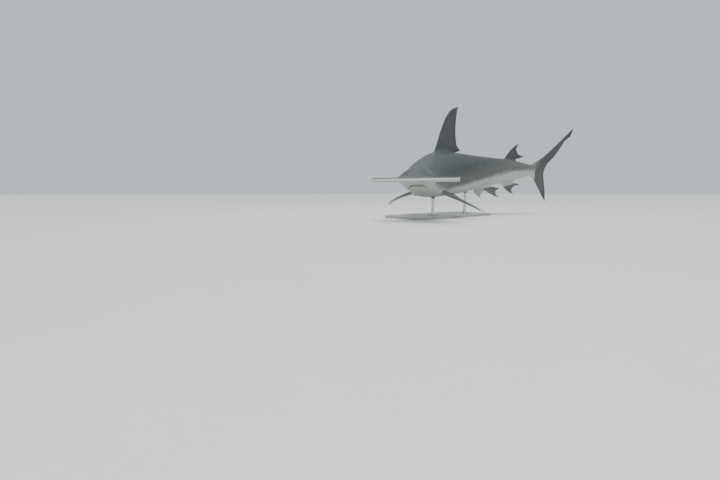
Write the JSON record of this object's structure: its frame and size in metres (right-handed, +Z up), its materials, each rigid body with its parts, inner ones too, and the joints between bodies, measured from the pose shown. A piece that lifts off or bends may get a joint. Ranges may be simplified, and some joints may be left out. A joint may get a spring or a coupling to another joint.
{
  "type": "hammerhead shark model",
  "caption": "Life-size still model of a great hammerhead shark, turning as it swims, held over a flat display base by short rods.",
  "frame": {"origin": "middle of the underside of the whole model's bounding box, on the floor", "axes": "+Z up, +Y from head to tail along the line from snout to tail, +X to the animal's left at the middle of the body"},
  "size_m": [1.353, 3.1296, 1.2791],
  "materials": {
    "skin": "satin countershaded skin, dark olive grey above and off-white below",
    "eye": "wet gloss, pale iris round a dark pupil",
    "stand_paint": "satin light grey lacquer",
    "stand_steel": "brushed"
  },
  "bodies": {
    "root": {"head": "skin", "lower_jaw": "skin", "gill_region": "skin", "torso_front": "skin", "torso_rear": "skin", "tail_stalk": "skin", "tail_fin_upper_lobe": "skin", "tail_fin_lower_lobe": "skin", "dorsal_fin_first": "skin", "dorsal_fin_second": "skin", "anal_fin": "skin", "pectoral_fin_left": "skin", "pectoral_fin_right": "skin", "pelvic_fin_left": "skin", "pelvic_fin_right": "skin", "eye_left": "eye", "eye_right": "eye", "stand_base": "stand_paint", "stand_rod_front": "stand_steel", "stand_rod_rear": "stand_steel"}
  },
  "joints": []
}
